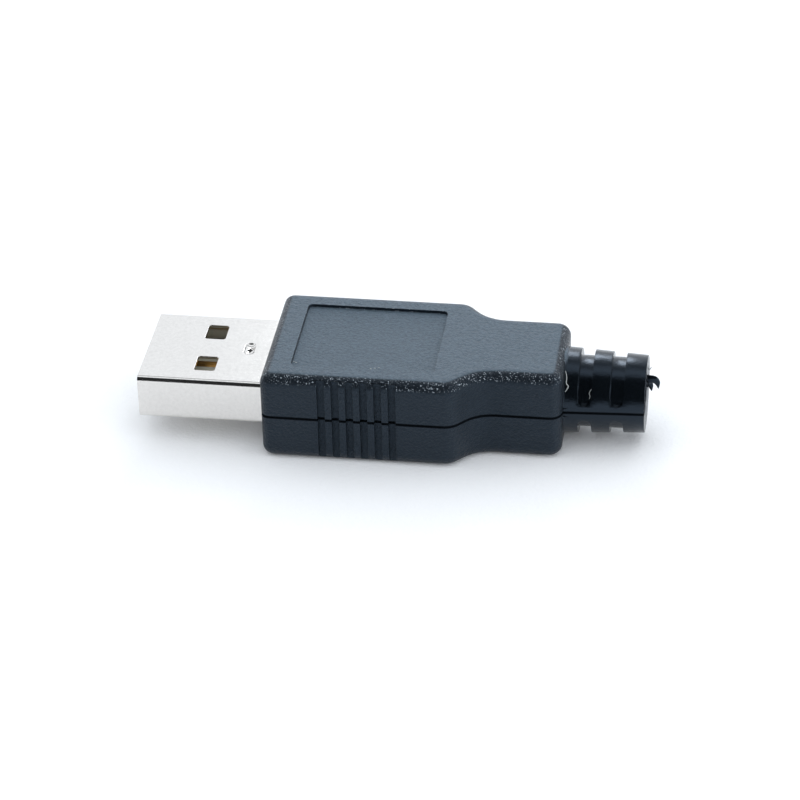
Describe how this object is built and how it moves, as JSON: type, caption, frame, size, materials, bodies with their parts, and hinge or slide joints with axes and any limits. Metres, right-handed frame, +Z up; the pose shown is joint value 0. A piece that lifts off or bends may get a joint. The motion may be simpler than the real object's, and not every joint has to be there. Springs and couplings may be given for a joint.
{
  "type": "usb-a plug",
  "caption": "Solder-on USB-A plug: folded steel shell, contact tongue, snap-together moulded covers and a slotted strain relief.",
  "frame": {"origin": "middle of the plug's length and width, on the flat underside that it lies on", "axes": "+X along the plug from its mouth to its cable outlet, +Y across it, +Z up out of the recessed panel"},
  "size_m": [0.0482, 0.0156, 0.0092],
  "materials": {
    "cover_plastic": "fine spark-eroded black with a slight sheen",
    "shell_steel": "bright nickel plate",
    "insulator_plastic": "plain off-white moulding",
    "contact_metal": "thin gold flash"
  },
  "bodies": {
    "root": {"upper_cover": "cover_plastic", "lower_cover": "cover_plastic", "plug_shell": "shell_steel", "insulator": "insulator_plastic", "power_contact": "contact_metal", "data_minus_contact": "contact_metal", "data_plus_contact": "contact_metal", "ground_contact": "contact_metal"}
  },
  "joints": []
}
